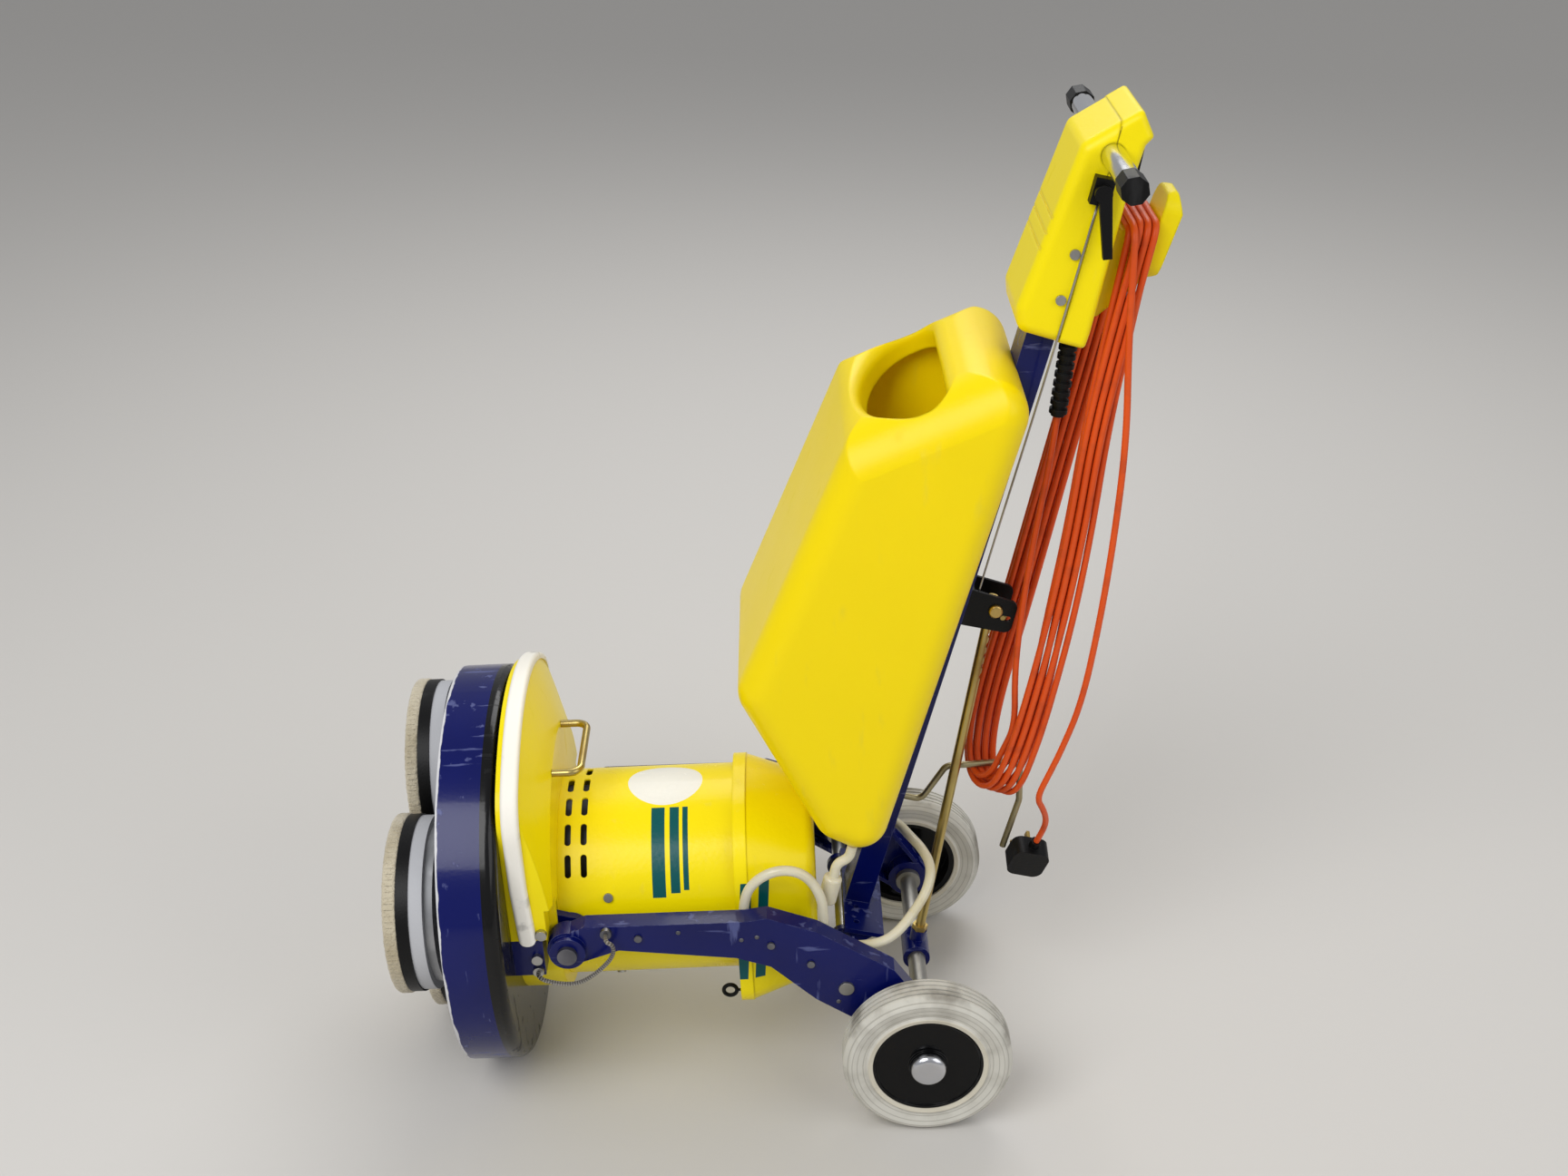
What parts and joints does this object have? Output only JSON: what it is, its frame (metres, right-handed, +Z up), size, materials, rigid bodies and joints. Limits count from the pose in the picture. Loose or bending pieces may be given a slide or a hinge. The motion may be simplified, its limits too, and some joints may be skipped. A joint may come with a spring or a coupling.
{
  "type": "floor scrubber",
  "caption": "Three-brush floor scrubber parked on its rim, with motor head, two wheels, solution tank and tilting handle",
  "frame": {"origin": "on the floor under the middle of the machine's bounding box, measured without the free cord", "axes": "+X from the brushes to the handle, +Y from the side with the release lever to the other side, +Z up"},
  "size_m": [0.8674, 0.48, 1.1771],
  "materials": {
    "yellow_plastic": "glossy moulded, lightly worn",
    "blue_plastic": "glossy, scuffed at the edges",
    "blue_paint": "semi-gloss paint",
    "black_plastic": "moulded",
    "grey_plastic": "moulded",
    "felt": "pressed fibre",
    "white_rubber": "soft",
    "tyre": "grey non-marking rubber",
    "yellow_zinc": "yellow passivated zinc",
    "steel": "zinc plated",
    "chrome": "polished",
    "aluminium": "cast",
    "iron": "laminated core",
    "hose": "translucent",
    "orange_cord": "smooth sheath",
    "brass": "plain"
  },
  "bodies": {
    "chassis": {"arm_near": "blue_paint", "arm_far": "blue_paint", "axle": "steel", "axle_caps": "chrome", "handle_shaft": "steel", "chassis_bolts": "steel", "feed_hose": "hose"},
    "wheel_near": {"tyre_near": "tyre", "wheel_near": "black_plastic"},
    "wheel_far": {"tyre_far": "tyre", "wheel_far": "black_plastic"},
    "head": {"brush_deck": "blue_plastic", "gear_plate": "aluminium", "base_cover": "yellow_plastic", "bumper": "white_rubber", "head_bolts": "steel", "lift_handle": "yellow_zinc", "pivot_ears": "blue_paint", "motor_cover": "yellow_plastic", "stator": "iron", "motor_end_cap": "yellow_plastic", "cap_clip": "black_plastic", "earth_strap": "steel"},
    "rotor": {"rotor": "iron"},
    "handle": {"handle_column": "blue_paint", "latch_bracket": "blue_paint", "casing_front": "yellow_plastic", "casing_rear": "yellow_plastic", "grip_bar": "chrome", "grip_caps": "black_plastic", "lever_clamp": "black_plastic", "casing_screws": "steel", "strain_relief": "black_plastic", "lower_hook": "yellow_zinc", "release_cable": "steel", "cord_lead": "orange_cord", "cord_hank": "orange_cord", "cord_tail": "orange_cord", "plug": "black_plastic", "plug_pins": "brass", "tank": "yellow_plastic", "outlet_valve": "hose", "drain_hose": "hose"},
    "lock_rod": {"lock_rod": "yellow_zinc", "rod_collar": "blue_paint"},
    "latch": {"latch_pin": "yellow_zinc"},
    "lever": {"release_lever": "black_plastic"},
    "trigger": {"switch_trigger": "black_plastic"},
    "brush_a": {"spindle_a": "aluminium", "drive_plate_a": "grey_plastic", "pad_holder_a": "black_plastic", "floor_pad_a": "felt"},
    "brush_b": {"spindle_b": "aluminium", "drive_plate_b": "grey_plastic", "pad_holder_b": "black_plastic", "floor_pad_b": "felt"},
    "brush_c": {"spindle_c": "aluminium", "drive_plate_c": "grey_plastic", "pad_holder_c": "black_plastic", "floor_pad_c": "felt"}
  },
  "joints": [
    {"name": "head_swing", "type": "hinge", "parent": "chassis", "child": "head", "pos_m": [-0.22782, 0, 0.23254], "axis": [0, -1, 0], "range_deg": [0, 92.5], "deforming": ["earth_strap"]},
    {"name": "handle_tilt", "type": "hinge", "parent": "chassis", "child": "handle", "pos_m": [0.09674, 0, 0.175], "axis": [0, 1, 0], "range_deg": [0, 40], "deforming": ["drain_hose"]},
    {"name": "lock_rod_swing", "type": "hinge", "parent": "chassis", "child": "lock_rod", "pos_m": [0.19174, 0, 0.1], "axis": [0, 1, 0], "range_deg": [0, 36.9]},
    {"name": "release_lever_pull", "type": "hinge", "parent": "handle", "child": "lever", "pos_m": [0.34228, -0.073, 1.10012], "axis": [0, -1, 0], "range_deg": [0, 20], "stiffness_Nm_per_rad": 1, "springref_deg": -5.73},
    {"name": "latch_slide", "type": "slide", "parent": "handle", "child": "latch", "axis": [0.978, 0, -0.2088], "range_m": [0, 0.006]},
    {"name": "switch_press", "type": "hinge", "parent": "handle", "child": "trigger", "pos_m": [0.37329, 0, 1.10168], "axis": [0, -1, 0], "range_deg": [0, 8], "stiffness_Nm_per_rad": 2, "springref_deg": -5.73},
    {"name": "wheel_near_roll", "type": "hinge", "parent": "chassis", "child": "wheel_near", "pos_m": [0.19174, -0.2, 0.1], "axis": [0, 1, 0], "continuous": true},
    {"name": "wheel_far_roll", "type": "hinge", "parent": "chassis", "child": "wheel_far", "pos_m": [0.19174, 0.2, 0.1], "axis": [0, 1, 0], "continuous": true},
    {"name": "rotor_spin", "type": "hinge", "parent": "head", "child": "rotor", "pos_m": [-0.36026, 0, 0.23977], "axis": [0.999, 0, 0.0436], "continuous": true},
    {"name": "brush_a_spin", "type": "hinge", "parent": "head", "child": "brush_a", "pos_m": [-0.42646, -0.1216, 0.26588], "axis": [0.999, 0, 0.0436], "continuous": true},
    {"name": "brush_b_spin", "type": "hinge", "parent": "head", "child": "brush_b", "pos_m": [-0.41998, 0.03571, 0.11726], "axis": [0.999, 0, 0.0436], "continuous": true},
    {"name": "brush_c_spin", "type": "hinge", "parent": "head", "child": "brush_c", "pos_m": [-0.42916, 0.08589, 0.32767], "axis": [0.999, 0, 0.0436], "continuous": true}
  ],
  "couplings": [
    {"joint": "lock_rod_swing", "follows": "handle_tilt", "ratio": 0.92},
    {"joint": "latch_slide", "follows": "release_lever_pull", "m_per_rad": 0.017189},
    {"joint": "rotor_spin", "follows": "brush_a_spin", "ratio": -4},
    {"joint": "brush_b_spin", "follows": "brush_a_spin", "ratio": 1},
    {"joint": "brush_c_spin", "follows": "brush_a_spin", "ratio": 1}
  ]
}
